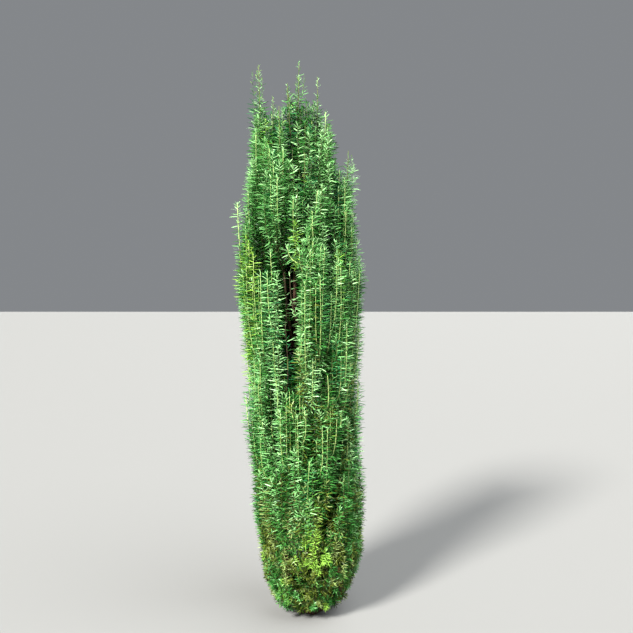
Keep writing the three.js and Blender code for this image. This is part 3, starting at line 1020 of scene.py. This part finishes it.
def add_boughs(plumes):
    for index, plume in enumerate(p for p in plumes if p["bough"]):
        bough = add_piece(f"bough_{plume['name']}_bark", *bough_skin(plume, 100 + 2 * index), [BARK])
        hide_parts(f"bough_{plume['name']}")
        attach(bough, "root")


# How often a fine shoot gets each colour, up to that height and, last, deep inside the crown, where its
# colours are painted shade
# Their near-black colours are partly painted shade, and bright and pale partly painted highlight
OUTER = [
    # painted shade: the base's outer shoots get moss for the shade between them
    (400, dict(olive=4.4, shade_olive=5, mid=2.2, grass=2, deep=1.8, dry=1.6, lime=0.2, brown=0.2)),
    (950, dict(mid=3.6, olive=1.2, bright=3.8, deep=3, shade=1, blue=1, lime=0.1, pale=1)),
    (1550, dict(mid=3, bright=5.2, deep=1.6, blue=1.5, pale=2.2, lime=0.1)),
    (2200, dict(mid=2.6, bright=5.4, deep=1.2, blue=2, pale=3, lime=0.2)),
]
ZONE_BLUR = 110  # where a row of OUTER gives way to the next
# Painted shade: the colours of shoots deep inside, less dark in the crown's top from INNER_TOP_FROM up
INNER_SHADE = dict(shade=6, deep=3)
INNER_SHADE_TOP = dict(shade=2, deep=5, mid=3, blue=1)
INNER_TOP_FROM = 1600
PATCHES = [
    # x, y, z, radius, colour, share of the shoots there
    (14, -190, 396, 46, "lime", 1.0),
    (-18, -185, 256, 46, "lime", 0.62),
    (42, -190, 266, 46, "lime", 0.62),
    (-140, -115, 120, 60, "grass", 0.7),
    (-150, -130, 300, 120, "brown", 0.04),
    (-130, -150, 480, 70, "brown", 0.05),
    # painted light: lime needles down the left edge, the side the light falls on
    (-225, -50, 1300, 120, "lime", 0.2),
    (-225, -50, 1080, 120, "lime", 0.16),
    # painted shade: the crown's centre, between its masses, darker
    (-56, -70, 1880, 85, "deep", 0.9),
]
LIGHTER = dict(
    shade="deep", deep="mid", blue="bright", mid="bright",
    bright="pale", grass="bright", shade_olive="olive", olive="dry",
)
DARKER = dict(
    deep="shade", blue="deep", mid="deep", bright="mid",
    pale="bright", grass="deep", olive="shade_olive", dry="olive",
)
LIGHTEN = np.array([COLOUR[LIGHTER.get(key, key)] for key in NEEDLES])
DARKEN = np.array([COLOUR[DARKER.get(key, key)] for key in NEEDLES])
SINGLY = (0.22, 0.82)  # draws below which a needle is lighter, and above which darker
YOUNG = 0.11  # share of a shoot, at its tip, with paler needles
YOUNG_SPREAD = (0.5, 1.5)
SHADED_FROM = (37, 78)  # depths at which some shoots get painted shade, and all
TOP_LIGHTER = 22  # the crown's top counts as less deep by this, so less of it gets painted shade
LIME_LEADING = 0.15

BARE_SHOOT = 0.12  # share without needles
BARE_AXIS = 0.02
DROPPED = 0.7  # share of the needles deep inside
THINNING = (50, 100)  # depths
DROPPED_FROM = (380, 560)  # heights
IN_FURROW = 0.35  # share of the needles left in a furrow
LEAD_DROPPED = 0.25

SHOWN = (0.8, 0.2)  # share of green stems, outermost and further in
SHOWN_DEPTH = (27, 45)
SHOWN_FROM = (480, 760)  # heights
LEADS_ABOVE = 20  # leading shoots end so far above a mass's closed top
THICK = dict(shown=3.0, in_shade=1.2, other=1.6)
LEAD_THICK = 0.6
SHOOT_TIP = 0.3
SHOOT_SIDES = 3
OLD_RINGS = 1  # of a shoot
TWIG_RADIUS = 4.0
AXIS_TIP_RADIUS = 1.0
AXIS_SIDES = 6
BARK_RINGS = 11  # of an axis
GREEN_FROM = 19
STEM_IN_TRUNK = 8  # so far inside the trunk a stem starts


def deal(weights, rng, count):
    """So many colours, by their weights"""
    shares = np.array(list(weights.values()), float)
    picked = rng.choice(len(weights), size=count, p=shares / shares.sum())
    return np.array([COLOUR[key] for key in weights])[picked]


def deal_by_height(heights, rng):
    blurred = np.minimum(heights + rng.normal(0, ZONE_BLUR, len(heights)), OUTER[-1][0] - 1)
    zone = np.searchsorted([top for top, _ in OUTER], blurred)
    dealt = np.stack([deal(weights, rng, len(heights)) for _, weights in OUTER])
    return dealt[zone, np.arange(len(heights))]


def plain(colours):
    """Mid green instead of the rarer colours, for the long axes"""
    rare = [COLOUR[key] for key in ("lime", "dry", "brown")]
    return np.where(np.isin(colours, rare), COLOUR["mid"], colours)


def shoot_colours(stands, rng):
    """From where shoots stand, which deep inside get painted shade, and the colour of each"""
    many, height = len(stands), stands[:, 2]
    depth = depth_below(stands) - TOP_LIGHTER * smoothstep(height, *TOP_FROM)
    # painted shade: the deeper a shoot stands, the likelier it gets the near-black colours of INNER_SHADE
    in_shade = smoothstep(depth, *SHADED_FROM) > rng.random(many)
    shade_dealt = np.where(height > INNER_TOP_FROM, deal(INNER_SHADE_TOP, rng, many), deal(INNER_SHADE, rng, many))
    dealt = np.where(in_shade, shade_dealt, deal_by_height(height, rng))
    for x, y, z, reach, key, often in PATCHES:
        near = np.linalg.norm(stands - [x, y, z], axis=1) < reach
        dealt = np.where(near & ~in_shade & (rng.random(many) < often), COLOUR[key], dealt)
    return in_shade, dealt


def needle_colours(placed, by_line, rng):
    """Each needle has its line's colour, or a lighter or darker one. At the tip most are lighter. Deep inside
    none are lighter, which is painted shade.
    """
    own = by_line[placed["shoot"]]
    chance = rng.random(len(own))
    young = placed["share"] > 1 - YOUNG * rng.uniform(*YOUNG_SPREAD, len(own))
    # painted shade: only needles near the outside may be lighter
    lighter = (young | (chance < SINGLY[0])) & (depth_below(placed["root"]) < SHADED_FROM[0])
    return np.where(lighter, LIGHTEN[own], np.where(chance > SINGLY[1], DARKEN[own], own))


def needles_left(placed, trunk, rng):
    """Which needles are there: above the ground, outside the trunk and not dropped"""
    root, leading = placed["root"], placed["leading"]
    tips = root + placed["toward"] * placed["size"][:, None]
    left = (tips[:, 2] > GROUND_CLEAR / 2) & (distance_to_segments(root, trunk) > 0)
    dropped = DROPPED * smoothstep(depth_below(root), *THINNING) * clear_behind(root)
    dropped *= smoothstep(root[:, 2], *DROPPED_FROM)
    left &= rng.random(len(root)) > dropped
    left &= clear_of_furrows(root) | (rng.random(len(root)) < IN_FURROW)
    left &= rng.random(len(root)) > LEAD_DROPPED * leading
    return left


def foliage_needles(plume, axes, shoots, dealt, trunk, rng):
    """Vertices, triangles and colours of a mass's needles, on its fine shoots and its axes"""
    seed, closed = 3 * plume["seed"], plume["closed"]
    on_axes = plain(deal_by_height(axes[:, AXIS_POINTS // 2, 2], rng))
    parts, colours = [], []
    for placed, by_line in (
        (needles(shoots, seed, BARE_SHOOT, closed), dealt),
        (needles(axes, seed + 1, BARE_AXIS, closed), on_axes),
    ):
        own = needle_colours(placed, by_line, rng)
        left = needles_left(placed, trunk, rng)
        limed = (placed["leading"] > 0.5) & (rng.random(len(own)) < LIME_LEADING)
        own = np.where(limed, COLOUR["lime"], own)
        parts.append({key: value[left] for key, value in placed.items()})
        colours.append(own[left])
    together = {key: np.concatenate([part[key] for part in parts]) for key in parts[0]}
    return *needle_mesh(together), np.repeat(np.concatenate(colours), len(BLADE_TRIANGLES))


def shoot_wood(plume, shoots, in_shade, rng):
    """Fine shoots without their needles. Many of the outermost stems show in pale green. Those of shoots deep
    inside are near-black green, painted shade.
    """
    stands, ends = shoots[:, STANDS_AT], shoots[:, -1]
    share = lerp(*SHOWN, smoothstep(depth_below(stands), *SHOWN_DEPTH))
    shown = ~in_shade & (rng.random(len(shoots)) < share * smoothstep(stands[:, 2], *SHOWN_FROM))
    leads = ends[:, 2] > plume["closed"] + LEADS_ABOVE
    shown &= ~leads
    # painted shade on the stems of the shoots deep inside
    old = np.where(in_shade, HUE["dark"], HUE["tan"])
    new = np.where(shown, HUE["green"], old)
    thick = np.where(shown, THICK["shown"], np.where(in_shade, THICK["in_shade"], THICK["other"]))
    thick = thick * np.where(leads, LEAD_THICK, 1)
    is_old = np.arange(SHOOT_POINTS - 1)[None] < OLD_RINGS
    hues = np.where(is_old, old[:, None], new[:, None])
    return *tubes(shoots, thick, thick * SHOOT_TIP, SHOOT_SIDES), hues_of(hues, SHOOT_SIDES)


def axis_wood(plume, stem, axes):
    """The stem and side twigs of a mass: barked, then tan, and below the crown green at their tips"""
    rings = np.arange(AXIS_POINTS - 1)
    by_ring = np.where(rings < BARK_RINGS, HUE["bark"], HUE["tan"])
    if plume["tier"] != "crown":
        by_ring[GREEN_FROM:] = HUE["green"]
    clear = clear_of_furrows(axes[:, 1:].reshape(-1, 3)).reshape(len(axes), -1)
    hues = np.where(clear, by_ring[None], HUE["bark"])
    lines = np.array([stem, *axes[1:]])
    foot_radius = np.array([STEM_RADIUS] + [TWIG_RADIUS] * (len(axes) - 1))
    tip_radius = np.full(len(axes), AXIS_TIP_RADIUS)
    return *tubes(lines, foot_radius, tip_radius, AXIS_SIDES), hues_of(hues, AXIS_SIDES)


def joined_meshes(meshes):
    """Several meshes as one"""
    verts, tris, hues = zip(*meshes)
    offsets = np.cumsum([0] + [len(part) for part in verts])
    shifted = [part + offset for part, offset in zip(tris, offsets)]
    return np.concatenate(verts), np.concatenate(shifted), np.concatenate(hues)


def whole_stem(plume, trunk):
    """A mass's stem, from its bough's end or from just inside the trunk"""
    line = bezier(plume["corners"], np.linspace(plume["bough"], 1, DENSE_POINTS))
    return resampled(line[distance_to_segments(line, trunk) > -STEM_IN_TRUNK], AXIS_POINTS)


def add_foliage(plume, twigs, shoots, trunk):
    rng = np.random.default_rng(plume["seed"])
    name = f"foliage_{plume['name']}"
    leafy = drawn_up(plume, leafy_axis(plume))
    stem = drawn_up(plume, whole_stem(plume, trunk))
    axes = np.array([leafy] + [resampled(line, AXIS_POINTS) for line in twigs])
    in_shade, dealt = shoot_colours(shoots[:, STANDS_AT], rng)

    verts, tris, colours = foliage_needles(plume, axes, shoots, dealt, trunk, rng)
    leaves = add_piece(f"needles_{plume['name']}", verts, tris, list(NEEDLES.values()), colours)
    verts, tris, hues = joined_meshes([shoot_wood(plume, shoots, in_shade, rng), axis_wood(plume, stem, axes)])
    wood = add_piece(f"twigs_{plume['name']}", verts, tris, list(STEMS.values()), hues)
    for piece in (leaves, wood):
        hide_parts(name)
        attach(piece, "root")


def grow_yew():
    plumes = lay_out_plumes()
    lay_out_spaces(plumes)
    trunk = trunk_segments()
    limbs = joined_segments([trunk] + [bough_segments(plume) for plume in plumes if plume["bough"]])
    add_trunk()
    add_boughs(plumes)

    all_twigs = [grow_twigs(plume, limbs) for plume in plumes]
    candidates = [
        candidate_shoots(plume, [leafy_axis(plume), *twigs], limbs) for plume, twigs in zip(plumes, all_twigs)
    ]
    for plume, twigs, shoots in zip(plumes, all_twigs, choose_shoots(candidates)):
        if plume["tier"] == "crown":
            shoots = drawn_up(plume, np.concatenate([shoots, leading_shoots(plume)]))
        add_foliage(plume, twigs, shoots, trunk)


# Floor, light and camera, in metres
FLOOR_HALF = 12.0
FLOOR_COLOUR = (0.23, 0.23, 0.225)
FLOOR_ROUGHNESS = 0.9
SKY_COLOUR = (0.86, 0.90, 0.95)
SKY_STRENGTH = 0.27
SUNS = (
    # name, place, width in degrees, strength, colour
    ("key", (-2.6, -3.4, 4.4), 14, 8.9, (1.0, 0.98, 0.93)),
    ("top", (1.7, -1.3, 4.8), 50, 3.0, (0.97, 0.99, 1.0)),
    ("back", (1.4, 3.4, 2.6), 60, 1.7, (0.97, 0.99, 1.0)),
)
SUN_AIM = (-0.03, 0, 1.0)
EYE = (0.0216, -3.32, 1.5)
EYE_DOWN = 5.9  # in degrees
LENS = 50
SENSOR = 36


def add_floor():
    mesh = bpy.data.meshes.new("floor")
    corners = [(x * FLOOR_HALF, y * FLOOR_HALF, 0) for x, y in ((-1, -1), (1, -1), (1, 1), (-1, 1))]
    mesh.from_pydata(corners, [], [(0, 1, 2, 3)])
    mesh.materials.append(principled("floor_matt", FLOOR_COLOUR, FLOOR_ROUGHNESS))
    floor = new_object("floor", mesh)


def add_sky():
    sky = bpy.data.worlds.new("studio")
    sky.use_nodes = True
    background = sky.node_tree.nodes["Background"]
    background.inputs["Color"].default_value = (*SKY_COLOUR, 1)
    background.inputs["Strength"].default_value = SKY_STRENGTH
    bpy.context.scene.world = sky


def add_sun(name, place, width, strength, colour):
    light = bpy.data.lights.new(name, "SUN")
    light.angle = math.radians(width)
    light.energy = strength
    light.color = colour
    lamp = new_object(name, light)
    lamp.location = place
    x, y, z = np.array(SUN_AIM) - np.array(place)
    lamp.rotation_euler = (math.atan2(math.hypot(x, y), -z), 0, math.atan2(y, x) - math.pi / 2)


def add_camera():
    camera = bpy.data.cameras.new("camera")
    camera.lens = LENS
    camera.sensor_width = SENSOR
    eye = new_object("camera", camera)
    eye.location = EYE
    eye.rotation_euler = (math.radians(90 - EYE_DOWN), 0, 0)
    bpy.context.scene.camera = eye


grow_yew()
bpy.context.scene.view_settings.view_transform = "Standard"
add_floor()
add_sky()
for sun in SUNS:
    add_sun(*sun)
add_camera()
